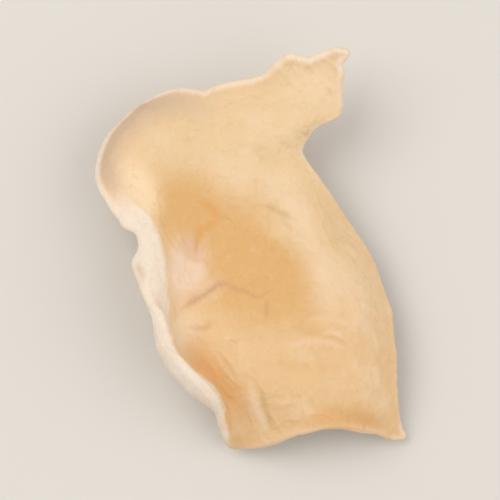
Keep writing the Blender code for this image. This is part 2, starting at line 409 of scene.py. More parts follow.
def margin_verts(piece: Piece) -> np.ndarray:
    """Finds the open border of a piece.

    Args:
        piece: A piece with an open border.

    Returns:
        Indices of the vertices on it.
    """
    mesh = piece.data
    uses = np.zeros(len(mesh.edges), int)
    for polygon in mesh.polygons:
        for loop in polygon.loop_indices:
            uses[mesh.loops[loop].edge_index] += 1
    open_edges = [mesh.edges[i].vertices for i in np.flatnonzero(uses == 1)]
    return np.unique(np.array([tuple(pair) for pair in open_edges]))


def set_group(piece: Piece, name: str, weights: np.ndarray) -> None:
    """Paints a vertex group.

    Args:
        piece: The piece that carries the group.
        name: The group's name. A group of that name is painted over.
        weights: A number from 0 to 1 for each vertex.
    """
    group = piece.vertex_groups.get(name) or piece.vertex_groups.new(name=name)
    steps = np.round(np.clip(weights, 0, 1) * 255).astype(int)
    for step in np.unique(steps):
        group.add(np.flatnonzero(steps == step).tolist(), step / 255, "REPLACE")


def group_weights(piece: Piece, name: str) -> np.ndarray:
    """Reads a vertex group.

    Args:
        piece: The piece that carries the group.
        name: The group's name.

    Returns:
        A number from 0 to 1 for each vertex.
    """
    index = piece.vertex_groups[name].index
    weights = np.zeros(len(piece.data.vertices))
    for vert in piece.data.vertices:
        for entry in vert.groups:
            if entry.group == index:
                weights[vert.index] = entry.weight
    return weights


def set_attribute(piece: Piece, name: str, values: np.ndarray) -> None:
    """Stores one number for each vertex, for the material to read."""
    attribute = piece.data.attributes.new(name, "FLOAT", "POINT")
    attribute.data.foreach_set("value", values.astype(np.float32))


def apply_modifier(piece: Piece, kind: str, **settings: object) -> None:
    """Adds a modifier, sets it and applies it.

    Args:
        piece: The piece that it changes.
        kind: The modifier's type.
        **settings: The modifier's own settings.
    """
    modifier = piece.modifiers.new(kind.lower(), kind)
    for name, value in settings.items():
        setattr(modifier, name, value)
    make_active(piece)
    bpy.ops.object.modifier_apply(modifier=modifier.name)


def raise_by_weight(piece: Piece, heights: np.ndarray, limit: float,
                    direction: str = "NORMAL") -> None:
    """Moves vertices out or in by painted heights.

    Args:
        piece: The piece to shape.
        heights: How far each vertex moves, in millimetres, all of one sign.
        limit: The largest height, with its sign.
        direction: The way they move: NORMAL, X, Y or Z.
    """
    set_group(piece, "relief", heights / limit)
    apply_modifier(piece, "DISPLACE", strength=limit * MM, mid_level=0.0,
                   direction=direction, vertex_group="relief")
    piece.vertex_groups.remove(piece.vertex_groups["relief"])


def relax(piece: Piece, weights: np.ndarray, rounds: int) -> None:
    """Evens out a piece where it is weighted.

    Args:
        piece: The piece to even out.
        weights: How much each vertex gives way, from 0 to 1.
        rounds: How often it is done.
    """
    set_group(piece, "relaxed", weights)
    apply_modifier(piece, "SMOOTH", factor=0.5, iterations=rounds, vertex_group="relaxed")
    piece.vertex_groups.remove(piece.vertex_groups["relaxed"])


@dataclass(frozen=True)
class Folds:
    """The folds that run down the stalk and out over the outer side.

    They rise at their start, are highest at their crest and have run out at their end, all
    measured from the stalk's middle. The root is the part of the sheet that is drawn down to
    the stalk. No place is pushed out further than the highest value.
    """

    count: int = 7
    sway: float = 0.9
    mean_strength: float = 0.78
    sharpness: float = 1.5
    height: float = 1.2
    start: float = 1.5
    crest: float = 4.5
    end: float = 13.0
    root: float = 2.3
    root_radius: float = 2.0
    root_spread: float = 2.3
    highest: float = 3.6

    def at(self, angle: np.ndarray) -> np.ndarray:
        """How much of a fold there is along each angle, from 0 to 1.

        Args:
            angle: Angles round the stalk.

        Returns:
            A share for each angle.
        """
        crest = 0.5 + 0.5 * np.cos(
            self.count * angle + self.sway * (np.sin(angle) + np.sin(2 * angle + 1)))
        return at_least(self.mean_strength, np.cos(2 * angle + 2)) * crest ** self.sharpness

    def over(self, points: np.ndarray) -> tuple[np.ndarray, np.ndarray]:
        """Tells where points of the outer side lie among the folds.

        Args:
            points: Rows of x, y, z in metres.

        Returns:
            How much of a fold there is at each point, and how far the folds are felt there.
        """
        radius, angle = round_stalk(points)
        rise = smooth_step(radius, self.start, self.crest)
        fall = smooth_step(radius, self.end, self.crest)
        return self.at(angle), rise * fall

    def heights(self, points: np.ndarray) -> np.ndarray:
        """Tells how far the folds and the root push the outer side out.

        Args:
            points: Rows of x, y, z in metres.

        Returns:
            A height in millimetres for each point.
        """
        fold, felt = self.over(points)
        beyond = np.maximum(round_stalk(points)[0] - self.root_radius, 0)
        drawn = self.root * np.exp(-(beyond / self.root_spread) ** 2)
        return self.height * fold * felt + drawn


@dataclass(frozen=True)
class Wrinkles:
    """The wrinkles of the outer side, which run out from the stalk.

    Soft waves and sharp creases, drawn out by the length, with a fine grain between them. They
    grow away from the stalk and from the margin, where a share of them is left.
    """

    waves: Clouds = Clouds(0.13, 7.0)
    creases: Clouds = Clouds(0.2, 8.0)
    breadth: float = 0.16
    strength: float = 0.35
    length: float = 22.0
    grain: Clouds = Clouds(0.9, 11.0)
    height: float = 0.42
    grain_height: float = 0.12
    start: Span = (2.5, 5.0)
    margin_zone: Span = (1.0, 6.0)
    margin_share: float = 0.4

    def over(self, points: np.ndarray, to_margin: np.ndarray) -> tuple[np.ndarray, np.ndarray]:
        """Tells where points of the outer side lie among the wrinkles.

        Args:
            points: Rows of x, y, z in metres.
            to_margin: How far each lies from the margin, in millimetres.

        Returns:
            How high each point is raised, and how much of a hollow it lies in.
        """
        radius, angle = round_stalk(points)
        spokes = np.column_stack([np.cos(angle), np.sin(angle), radius / self.length])
        radial = (0.5 + self.strength * self.waves.over(spokes)
                  + self.strength * self.creases.lines(spokes, self.breadth))
        grain = self.grain.share(points / MM)
        away = smooth_step(radius, *self.start) * at_least(
            self.margin_share, smooth_step(to_margin, *self.margin_zone))
        return away * (self.height * radial + self.grain_height * grain), away * (1 - radial)


@dataclass(frozen=True)
class Ripples:
    """The faint relief of the smooth side, and the crinkles of the margin.

    The streaks are winding ridges along the flow, with patches of their own, and the net is
    one of finer ridges. The heights are those of swell, streaks, net and crinkles.
    """

    swell: Clouds = Clouds(3.6, 2.0)
    streaks: Clouds = Clouds(1.0, 17.0)
    across_flow: Place = (0.866, 0.5)
    along_flow: Place = (0.5, -0.866)
    flow_stretch: Place = (1.6, 6.0)
    streak_breadth: float = 0.2
    patches: Clouds = Clouds(6.0, 21.0)
    patch_edge: Span = (-0.25, 0.35)
    net: Clouds = Clouds(3.4, 27.0)
    net_breadth: float = 0.11
    crinkles: Clouds = Clouds(0.75, 13.0)
    margin_zone: Span = (1.3, 0.2)
    heights: tuple[float, float, float, float] = (0.3, 0.12, 0.08, 0.16)

    def over(self, points: np.ndarray, inner: np.ndarray, to_margin: np.ndarray) -> np.ndarray:
        """Tells how high the ripples raise points of the ear.

        Args:
            points: Rows of x, y, z in metres.
            inner: How far each belongs to the smooth side, from 0 to 1.
            to_margin: How far each lies from the margin, in millimetres.

        Returns:
            The height at each point, in millimetres.
        """
        rows = points / MM
        places = places_of(points)
        across, along = self.flow_stretch
        flow = np.column_stack([places @ self.across_flow / across,
                                places @ self.along_flow / along, np.zeros(len(points))])
        patches = smooth_step(self.patches.over(rows), *self.patch_edge)
        streaks = self.streaks.lines(flow, self.streak_breadth) * patches
        crinkles = smooth_step(to_margin, *self.margin_zone) * self.crinkles.share(rows)
        swell_height, streak_height, net_height, crinkle_height = self.heights
        return inner * (swell_height * self.swell.share(rows) + streak_height * streaks
                        + net_height * self.net.lines(rows, self.net_breadth)
                        ) + crinkle_height * crinkles


@dataclass
class Stalk:
    """The short puckered stalk, cut flat where it grew from the log.

    The profile is its outline above the cut, as (radius, height). The cut's rings, the reach of
    its pucker and the firm span are shares of its radius, and the low and the wrinkle share are
    those of the folds' depth. The core hardly gives way.
    """

    folds: Folds
    spokes: int = 120
    cut_radius: float = 2.25
    profile: tuple[Place, ...] = (
        (2.42, 0.12), (2.48, 0.40), (2.44, 0.85), (2.42, 1.35), (2.48, 1.85), (2.62, 2.35),
        (2.82, 2.85), (3.05, 3.35), (3.28, 3.90), (3.45, 4.50), (3.50, 5.30), (3.40, 6.20),
    )
    top_ring: float = 1.2
    cut_rings: tuple[float, ...] = (0.25, 0.2, 0.2, 0.15, 0.1)
    pucker: float = 0.28
    pucker_reach: float = 0.62
    fold_depth: float = 0.62
    low_share: float = 0.35
    fold_growth: Span = (-1.0, 4.5)
    wrinkles: Clouds = Clouds(0.11, 3.0)
    wrinkle_share: float = 0.35
    wrinkle_length: float = 7.0
    firm_share: Span = (0.35, 0.9)
    core: float = 0.5

    def build(self) -> Piece:
        """Models the stalk from one disc.

        Returns:
            The stalk, closed, from the surface up into the sheet.
        """
        bpy.ops.object.select_all(action="DESELECT")
        bpy.ops.mesh.primitive_circle_add(vertices=self.spokes, radius=self.cut_radius * MM,
                                          fill_type="NGON")
        stalk = bpy.context.object
        stalk.name = "stalk"
        with editing(stalk, "FACE"):
            bpy.ops.mesh.select_all(action="SELECT")
            self.raise_rings()
            for _ in range(2):
                bpy.ops.mesh.inset(thickness=self.top_ring * MM)
        self.pucker_cut(stalk)
        self.fold(stalk)
        return stalk

    def raise_rings(self) -> None:
        """Extrudes the disc upwards, ring by ring, along the profile."""
        below = (self.cut_radius, 0.0)
        for radius, height in self.profile:
            bpy.ops.mesh.extrude_region_move(
                TRANSFORM_OT_translate={"value": (0, 0, (height - below[1]) * MM)})
            bpy.ops.transform.resize(value=(radius / below[0], radius / below[0], 1),
                                     center_override=(0, 0, 0))
            below = (radius, height)

    def pucker_cut(self, stalk: Piece) -> None:
        """Closes the lower end, draws its middle in and turns all faces out.

        Args:
            stalk: The stalk, open at its lower end.
        """
        with editing(stalk, "EDGE"):
            bpy.ops.mesh.select_all(action="DESELECT")
            bpy.ops.mesh.select_non_manifold()
            bpy.ops.mesh.edge_face_add()
            bpy.ops.mesh.select_mode(type="FACE")
            for share in self.cut_rings:
                bpy.ops.mesh.inset(thickness=self.cut_radius * share * MM)
            bpy.ops.transform.translate(
                value=(0, 0, self.pucker * MM), use_proportional_edit=True,
                proportional_edit_falloff="SMOOTH",
                proportional_size=self.pucker_reach * self.cut_radius * MM)
            bpy.ops.mesh.select_all(action="SELECT")
            bpy.ops.mesh.normals_make_consistent(inside=False)

    def fold(self, stalk: Piece) -> None:
        """Presses the folds and finer wrinkles into the stalk's side.

        Args:
            stalk: The closed stalk.
        """
        points = points_of(stalk)
        radius, angle = round_stalk(points)
        height = points[:, 2] / MM
        grown = at_least(self.low_share, smooth_step(height, *self.fold_growth))
        ring = np.column_stack([np.cos(angle), np.sin(angle), height / self.wrinkle_length])
        depth = ((1 - self.folds.at(angle)) * grown
                 + self.wrinkle_share * self.wrinkles.share(ring))
        inner = smooth_step(radius, *(share * self.cut_radius for share in self.firm_share))
        factor = 1 - self.fold_depth * depth * inner / np.maximum(radius, self.core)
        for vert, grow in zip(stalk.data.vertices, factor):
            vert.co.x *= grow
            vert.co.y *= grow


@dataclass
class Ear:
    """The whole ear: sheet, lip, rim, outer folds and stalk.

    A span says where something starts and where it is complete, in millimetres: across or
    up, or as a distance from the margin or the stalk's middle, as its name tells.
    """

    folds: Folds = Folds()
    wrinkles: Wrinkles = Wrinkles()
    ripples: Ripples = Ripples()
    # How often parts are relaxed, and which places are creased too sharply, with their reach
    calming: int = 8
    rim_calming: int = 3
    calm_places: tuple[tuple[Place, float], ...] = (
        ((-11.0, -5.6), 3.0), ((9.2, 8.4), 3.0), ((-11.4, -9.8), 2.8))
    calm_core: float = 0.3
    # The smooth side: its largest bend, the most sides of a gap, how near two points are that
    # are one, a place on it as seen from above, and how often its cells are halved
    flat_angle: float = math.radians(20)
    largest_hole: int = 8
    same_place: float = 0.001
    seed_place: Place = (3.0, -5.0)
    refinements: int = 2
    # The strokes, the fields that bend them, and the edges of the felted band
    wavers: tuple[Clouds, Clouds] = (Clouds(2.2, 1.0), Clouds(2.2, 5.0))
    waver_reach: float = 0.35
    stroke_limit: float = 0.4
    band_edge: Span = (-0.2, 0.2)
    band_top: Span = (2.5, -2.5)
    # Thickness of lip, sheet and margin, and the least share of the lip's that any part has
    full_thickness: float = 1.35
    sheet_thickness: float = 1.25
    rim_thickness: float = 0.72
    thin_share: float = 0.3
    lip_across: Span = (0.0, -5.0)
    lip_top: Span = (-6.0, -10.0)
    lip_foot: Span = (-22.0, -16.0)
    lip_firmness: float = 0.7
    thinning: Span = (4.5, 0.5)
    unevenness: Clouds = Clouds(2.6, 9.0)
    uneven_thickness: float = 0.4
    # The rim, and the steps that round it, as (width, height)
    rim_zone: Span = (1.1, 0.6)
    rim_steps: tuple[Place, ...] = ((0.12, 0.16), (0.13, 0.08))
    # The seam round the stalk, without what looks up more than its slope, and the stalk
    seam_radius: Span = (7.0, 3.5)
    seam_height: Span = (1.5, 3.5)
    seam_slope: float = 0.3
    seam_top: float = 6.6
    stalk_radius: float = 4.5
    stalk_top: float = 6.2
    # How strong the painted shade is in the hollows between wrinkles and between folds
    hollow_shade: float = 0.6
    fold_shade: float = 0.7
    margin: np.ndarray | None = None

    def build(self, cad_node: Piece) -> Piece:
        """Models the ear.

        Args:
            cad_node: The plain solid of the ear, which stays as it is.

        Returns:
            The finished piece.
        """
        ear = self.smooth_side(cad_node)
        LOG.info("smooth side: %d faces", len(ear.data.polygons))
        self.shape_margin(ear)
        self.mark_strokes(ear)
        LOG.info("margin and strokes shaped")
        self.thicken(ear)
        self.round_rim(ear)
        LOG.info("thickened: %d faces", len(ear.data.polygons))
        self.fold_outside(ear)
        self.grow_together(ear, Stalk(self.folds).build())
        LOG.info("grown together: %d faces", len(ear.data.polygons))
        self.roughen(ear)
        self.settle(ear)
        self.note_surface(ear)
        return ear

    def smooth_side(self, cad_node: Piece) -> Piece:
        """Takes the smooth side of the solid as an open sheet of fine cells.

        Args:
            cad_node: The plain solid of the ear.

        Returns:
            A new piece with the smooth side alone.
        """
        ear = bpy.data.objects.new("dried_ear", cad_node.data.copy())
        bpy.context.scene.collection.objects.link(ear)
        ear.data.materials.clear()
        with editing(ear):
            bpy.ops.mesh.select_all(action="SELECT")
            bpy.ops.mesh.remove_doubles(threshold=self.same_place * MM)
            bpy.ops.mesh.customdata_custom_splitnormals_clear()
        across, up = self.seed_place
        seed = ear.ray_cast((across * MM, up * MM, 1.0), (0, 0, -1))[3]
        choose(ear, faces=np.arange(len(ear.data.polygons)) == seed)
        with editing(ear, "FACE"):
            bpy.ops.mesh.faces_select_linked_flat(sharpness=self.flat_angle)
            bpy.ops.mesh.select_all(action="INVERT")
            bpy.ops.mesh.delete(type="FACE")
            bpy.ops.mesh.select_all(action="SELECT")
            bpy.ops.mesh.fill_holes(sides=self.largest_hole)
            bpy.ops.mesh.tris_convert_to_quads(face_threshold=math.pi, shape_threshold=math.pi,
                                               topology_influence=1.5)
        apply_modifier(ear, "SUBSURF", levels=self.refinements, render_levels=self.refinements,
                       boundary_smooth="ALL")
        self.calm(ear, 3 * self.calming)
        return ear

    def calm(self, ear: Piece, rounds: int, share: np.ndarray | float = 1.0) -> None:
        """Evens out the places that are creased too sharply.

        Args:
            ear: The piece to even out.
            rounds: How often it is done.
            share: How much each vertex gives way, from 0 to 1.
        """
        for place, reach in self.calm_places:
            gap = np.linalg.norm(places_of(points_of(ear)) - place, axis=1)
            relax(ear, share * smooth_step(gap, reach, self.calm_core * reach), rounds)

    def shape_margin(self, ear: Piece) -> None:
        """Pulls nicks, teeth and waves into the margin.

        Args:
            ear: The ear so far.
        """
        sight_up = Vector((0, math.sin(LINE_OF_SIGHT), math.cos(LINE_OF_SIGHT)))
        rim = margin_verts(ear)
        for nick in NICKS:
            places = places_of(points_of(ear)[rim])
            nearest = rim[np.argmin(np.linalg.norm(places - nick.place, axis=1))]
            across, up, height = nick.pull
            pull = Vector((across, 0, height)) + up * sight_up
            choose(ear, verts=np.arange(len(ear.data.vertices)) == nearest)
            with editing(ear):
                bpy.ops.transform.translate(
                    value=pull * MM, use_proportional_edit=True,
                    proportional_edit_falloff="SMOOTH", proportional_size=nick.reach * MM,
                    use_proportional_connected=True)
        self.margin = points_of(ear)[rim]

    def mark_strokes(self, ear: Piece) -> None:
        """Presses the strokes into the smooth side and notes their tints and the felted band.

        Args:
            ear: The ear so far.
        """
        places = places_of(points_of(ear))
        level = np.column_stack([places, np.zeros(len(places))])
        warp = np.column_stack([waver.over(level) for waver in self.wavers])
        places = places + self.waver_reach * warp
        raised = np.zeros(len(places))
        sunk = np.zeros(len(places))
        # Tints along the strokes: stains, and painted shade and painted light on some
        tint_shares = {tint: np.zeros(len(places)) for tint in Tint}
        for stroke in STROKES:
            near = nearness(places, stroke.path, stroke.width)
            raised = np.maximum(raised, near * stroke.height)
            sunk = np.minimum(sunk, near * stroke.height)
            tint_shares[stroke.tint] = np.maximum(tint_shares[stroke.tint], near * stroke.strength)
        raise_by_weight(ear, raised, self.stroke_limit)
        raise_by_weight(ear, sunk, -self.stroke_limit)
        for tint, values in tint_shares.items():
            set_group(ear, tint.value, values)
        edge = np.array(BAND_EDGE[::-1])
        across, up = places.T
        inwards = np.interp(up, edge[:, 1], edge[:, 0]) - across
        set_group(ear, "band", smooth_step(inwards, *self.band_edge)
                  * smooth_step(up, *self.band_top))

    def thicken(self, ear: Piece) -> None:
        """Gives the sheet its uneven thickness and its outer side.

        Args:
            ear: The ear so far.
        """
        across, up = places_of(points_of(ear)).T
        lip = (smooth_step(across, *self.lip_across) * smooth_step(up, *self.lip_top)
               * smooth_step(up, *self.lip_foot))
        uneven = self.uneven_thickness * (self.unevenness.share(points_of(ear) / MM) - 0.5)
        thin = (smooth_step(self.margin_distance(ear), *self.thinning)
                * (1 - self.lip_firmness * lip))
        thickness = (self.sheet_thickness
                     + (self.full_thickness - self.sheet_thickness) * lip
                     + (self.rim_thickness - self.sheet_thickness + uneven) * thin)
        share = thickness / self.full_thickness
        set_group(ear, "thickness", (share - self.thin_share) / (1 - self.thin_share))
        ear.vertex_groups.new(name="outer")
        for side in ("side", "rim"):
            ear.data.materials.append(bpy.data.materials.new(side))
        apply_modifier(ear, "SOLIDIFY", thickness=self.full_thickness * MM, offset=-1.0,
                       use_quality_normals=True, vertex_group="thickness",
                       thickness_vertex_group=self.thin_share, shell_vertex_group="outer",
                       material_offset_rim=1)
        outer = group_weights(ear, "outer")
        relax(ear, outer, self.calming)
        self.calm(ear, 5 * self.calming, outer)

    def margin_distance(self, ear: Piece) -> np.ndarray:
        """Distance of each vertex from the margin, in millimetres.

        Args:
            ear: The ear so far.

        Returns:
            A distance for each vertex.
        """
        tree = kdtree.KDTree(len(self.margin))
        for index, point in enumerate(self.margin):
            tree.insert(point, index)
        tree.balance()
        return np.array([tree.find(point)[2] for point in points_of(ear)]) / MM

    def round_rim(self, ear: Piece) -> None:
        """Rounds the rim outwards in steps, then relaxes it.

        Args:
            ear: The ear so far.
        """
        marks = np.zeros(len(ear.data.polygons), int)
        ear.data.polygons.foreach_get("material_index", marks)
        choose(ear, faces=marks == 1)
        with editing(ear, "FACE"):
            for width, height in self.rim_steps:
                bpy.ops.mesh.inset(thickness=width * MM, depth=height * MM,
                                   use_boundary=True, use_even_offset=False)
        ear.data.materials.clear()
        relax(ear, smooth_step(self.margin_distance(ear), *self.rim_zone), self.rim_calming)
        self.calm(ear, self.calming)

    def fold_outside(self, ear: Piece) -> None:
        """Folds the outer side round the stalk and draws it down towards the stalk."""
        heights = group_weights(ear, "outer") * self.folds.heights(points_of(ear))
        raise_by_weight(ear, heights, self.folds.highest)

    def grow_together(self, ear: Piece, stalk: Piece) -> None:
        """Joins the stalk to the sheet and blends the seam.

        Args:
            ear: The thickened sheet.
            stalk: The stalk, which is used up.
        """
        apply_modifier(ear, "BOOLEAN", operation="UNION", solver="MANIFOLD", object=stalk)
        bpy.data.objects.remove(stalk)
        points = points_of(ear)
        radius = round_stalk(points)[0]
        height = points[:, 2] / MM
        seam = (smooth_step(radius, *self.seam_radius) * smooth_step(height, *self.seam_height)
                * (normals_of(ear)[:, 2] < self.seam_slope) * (height < self.seam_top))
        relax(ear, seam, 2 * self.calming)
        grown = (radius < self.stalk_radius) & (height < self.stalk_top)
        set_group(ear, "outer", np.maximum(group_weights(ear, "outer"), grown))

    def roughen(self, ear: Piece) -> None:
        """Wrinkles the outer side, notes its hollows for painted shade, then ripples the rest
        slightly.

        Args:
            ear: The ear so far.
        """
        points = points_of(ear)
        outer = group_weights(ear, "outer")
        wrinkled, hollow = self.wrinkles.over(points, self.margin_distance(ear))
        raise_by_weight(ear, outer * wrinkled, self.wrinkles.height + self.wrinkles.grain_height)
        fold, felt = self.folds.over(points)
        # The hollows between wrinkles and between folds, kept for painted shade
        set_group(ear, "hollows", outer * (self.hollow_shade * hollow
                                           + self.fold_shade * felt * (1 - fold)))
        rippled = self.ripples.over(points, 1 - outer, self.margin_distance(ear))
        raise_by_weight(ear, rippled, sum(self.ripples.heights))

    def settle(self, ear: Piece) -> None:
        """Flattens what would reach below the surface that the ear lies on.

        Args:
            ear: The ear so far.
        """
        choose(ear, verts=points_of(ear)[:, 2] < 0)
        with editing(ear):
            bpy.ops.transform.resize(value=(1, 1, 0), center_override=(0, 0, 0))

    def note_surface(self, ear: Piece) -> None:
        """Stores what the material reads: margin, stalk, side, band, hollow shade and stroke
        tints.

        Args:
            ear: The ear so far.
        """
        set_attribute(ear, "to_margin", self.margin_distance(ear))
        set_attribute(ear, "from_stalk", round_stalk(points_of(ear))[0])
        for name in ["outer", "band", "hollows"] + [tint.value for tint in Tint]:
            set_attribute(ear, name + "_share", group_weights(ear, name))
        ear.vertex_groups.clear()
        ear.data.shade_smooth()

    def dress(self, ear: Piece, material: bpy.types.Material) -> None:
        """Gives the whole ear one material.

        Args:
            ear: The ear so far.
            material: The material.
        """
        ear.data.materials.clear()
        ear.data.materials.append(material)
        ear.data.polygons.foreach_set("material_index", np.zeros(len(ear.data.polygons), int))


class Signal:
    """A number that varies over a surface, so that shader maths reads as arithmetic."""

    def __init__(self, desk: "ShaderDesk", socket: Socket) -> None:
        """Wraps a socket of a desk's material."""
        self.desk = desk
        self.socket = socket

    def __add__(self, other: "Signal | float") -> "Signal":
        """The sum."""
        return self.desk.maths("ADD", self, other)

    def __radd__(self, other: float) -> "Signal":
        """The sum, with a plain number first."""
        return self.desk.maths("ADD", other, self)

    def __sub__(self, other: "Signal | float") -> "Signal":
        """The difference."""
        return self.desk.maths("SUBTRACT", self, other)

    def __rsub__(self, other: float) -> "Signal":
        """The difference, with a plain number first."""
        return self.desk.maths("SUBTRACT", other, self)

    def __mul__(self, other: "Signal | float") -> "Signal":
        """The product."""
        return self.desk.maths("MULTIPLY", self, other)

    def __rmul__(self, other: float) -> "Signal":
        """The product, with a plain number first."""
        return self.desk.maths("MULTIPLY", other, self)

    def capped(self) -> "Signal":
        """The number, but 1 at most."""
        return self.desk.maths("MINIMUM", self, 1.0)

    def ramp(self, low: float, high: float) -> "Signal":
        """Rises smoothly from 0 at low to 1 at high, or falls where high is below low.

        Args:
            low: Where it starts.
            high: Where it ends.

        Returns:
            A number from 0 to 1.
        """
        if high < low:
            return 1 - self.ramp(high, low)
        node = self.desk.node("ShaderNodeMapRange", {"interpolation_type": "SMOOTHSTEP"},
                              {"Value": self, "From Min": low, "From Max": high})
        return Signal(self.desk, node.outputs[0])


@dataclass(frozen=True)
class Mottle:
    """A soft random pattern of a material.

    Attributes:
        size: The size of its clouds, in millimetres.
        detail: How many finer layers it has.
        roughness: How strong they are.
        distortion: How much it is bent.
        shift: Moves it, so that patterns differ.
        stretch: Lengthens it along x, y and z.
        edge: Between which of its values it turns from 0 to 1. Without it, it lies near a half.
        share: How strong it is.
        base: What is added to it.
    """

    size: float
    detail: float = 3.0
    roughness: float = 0.5
    distortion: float = 0.0
    shift: float = 0.0
    stretch: Triple = (1, 1, 1)
    edge: Span | None = None
    share: float = 1.0
    base: float = 0.0


@dataclass(frozen=True)
class Oval:
    """A soft oval on the smooth side, as the camera sees it.

    Attributes:
        middle: Its middle, as (across, up).
        radii: Its half width and half height, in millimetres.
        turn: How far it is turned, in degrees, against the clock.
        share: How strong it is in its middle.
        full: The share of a plain dome from which on it is full. Without it, it is the dome.
    """

    middle: Place
    radii: Place
    turn: float = 0.0
    share: float = 1.0
    full: float | None = None


@dataclass
class Tone:
    """A colour that varies over a surface.

    Attributes:
        desk: The desk of its material.
        value: A plain colour or a colour socket.
    """

    desk: "ShaderDesk"
    value: "Colour | Socket"

    def towards(self, other: "Colour | Tone", share: "Signal | float") -> "Tone":
        """Mixes this colour with another.

        Args:
            other: The other colour.
            share: How much of the other colour there is, from 0 to 1.

        Returns:
            The mixed colour.
        """
        node = self.desk.node("ShaderNodeMix", {"data_type": "RGBA"},
                              {0: share, 6: self.value, 7: other})
        return Tone(self.desk, node.outputs[2])

    def under(self, *layers: "tuple[Colour | Tone, Signal | float]") -> "Tone":
        """Mixes in one colour after another, each with its share.

        Args:
            *layers: The colours, each with its share.

        Returns:
            The mixed colour.
        """
        tone = self
        for other, share in layers:
            tone = tone.towards(other, share)
        return tone


class ShaderDesk:
    """Makes the nodes of one material."""

    def __init__(self, name: str) -> None:
        """Starts a material with a Principled surface.

        Args:
            name: The material's name.
        """
        self.material = bpy.data.materials.new(name)
        self.material.use_nodes = True
        self.tree = self.material.node_tree
        self.surface = self.tree.nodes["Principled BSDF"]
        self.place = self.node("ShaderNodeTexCoord").outputs["Object"]

    def node(self, kind: str, settings: dict[str, object] | None = None,
             inputs: dict[int | str, object] | None = None) -> bpy.types.Node:
        """Adds one node.

        Args:
            kind: The node's type.
            settings: Its own settings, such as a Math node's operation.
            inputs: Values or links of its sockets, by name or number.

        Returns:
            The new node.
        """
        node = self.tree.nodes.new(kind)
        for name, value in (settings or {}).items():
            setattr(node, name, value)
        for key, value in (inputs or {}).items():
            self.feed(node.inputs[key], value)
        return node

    def feed(self, socket: Socket, value: object) -> None:
        """Links a signal, tone or socket to a socket, or sets a plain value on it.

        Args:
            socket: The socket to feed.
            value: What it gets.
        """
        if isinstance(value, Signal):
            value = value.socket
        if isinstance(value, Tone):
            value = value.value
        if isinstance(value, Socket):
            self.tree.links.new(value, socket)
        else:
            socket.default_value = value

    def finished(self, inputs: dict[str, object]) -> bpy.types.Material:
        """Feeds the surface's inputs, by name, and hands the material over.

        Args:
            inputs: What each input gets, by its name.

        Returns:
            The finished material.
        """
        for name, value in inputs.items():
            self.feed(self.surface.inputs[name], value)
        return self.material

    def maths(self, operation: str, first: Signal | float, second: Signal | float) -> Signal:
        """Adds one Math node.

        Args:
            operation: What it works out.
            first: Its first number.
            second: Its second number.

        Returns:
            Its result.
        """
        node = self.node("ShaderNodeMath", {"operation": operation}, {0: first, 1: second})
        return Signal(self, node.outputs[0])

    def either(self, first: Signal, second: Signal) -> Signal:
        """The larger of two numbers."""
        return self.maths("MAXIMUM", first, second)

    def parts(self, vector: Socket) -> list[Signal]:
        """The three numbers of a vector."""
        node = self.node("ShaderNodeSeparateXYZ", {}, {0: vector})
        return [Signal(self, socket) for socket in node.outputs]

    def up(self) -> Signal:
        """How far up a point lies as the camera sees it, in metres."""
        return self.parts(self.seen())[1]

    def attribute(self, name: str) -> Signal:
        """Reads a number that is stored on the piece's vertices."""
        node = self.node("ShaderNodeAttribute", {"attribute_name": name})
        return Signal(self, node.outputs["Fac"])

    def clouds(self, mottle: Mottle) -> Signal:
        """Makes a soft random pattern.

        Args:
            mottle: Its size and strength.

        Returns:
            A number that varies from place to place.
        """
        moved = self.node("ShaderNodeMapping", {}, {
            "Vector": self.place, "Location": (mottle.shift,) * 3,
            "Scale": tuple(1 / factor for factor in mottle.stretch)})
        node = self.node("ShaderNodeTexNoise", {}, {
            "Vector": moved.outputs[0], "Scale": 1 / (mottle.size * MM), "Detail": mottle.detail,
            "Roughness": mottle.roughness, "Distortion": mottle.distortion})
        clouds = Signal(self, node.outputs[0])
        if mottle.edge is not None:
            clouds = clouds.ramp(*mottle.edge)
        return mottle.base + mottle.share * clouds

    def spot(self, oval: Oval) -> Signal:
        """Makes a soft oval on the smooth side.

        Args:
            oval: Its place, size and strength.

        Returns:
            The oval's share in its middle, falling smoothly to 0 at its edge.
        """
        across, up = oval.middle
        placed = self.node("ShaderNodeMapping", {"vector_type": "TEXTURE"}, {
            "Vector": self.seen(), "Location": (across * MM, up * MM, 0),
            "Rotation": (0, 0, math.radians(oval.turn)),
            "Scale": (oval.radii[0] * MM, oval.radii[1] * MM, 1)})
        length = self.node("ShaderNodeVectorMath", {"operation": "LENGTH"},
                           {0: placed.outputs[0]})
        soft = Signal(self, length.outputs["Value"]).ramp(1.0, 0.0)
        if oval.full is not None:
            soft = soft.ramp(0.0, oval.full)
        return soft * oval.share

    def seen(self) -> Socket:
        """Object coordinates turned so that x is across, y is up and z is left out.

        Returns:
            The vector socket.
        """
        if not hasattr(self, "_seen"):
            up = self.node("ShaderNodeVectorMath", {"operation": "DOT_PRODUCT"}, {
                0: self.place, 1: (0, math.sin(LINE_OF_SIGHT), math.cos(LINE_OF_SIGHT))})
            joined = self.node("ShaderNodeCombineXYZ", {}, {
                0: self.parts(self.place)[0], 1: up.outputs["Value"]})
            self._seen = joined.outputs[0]
        return self._seen


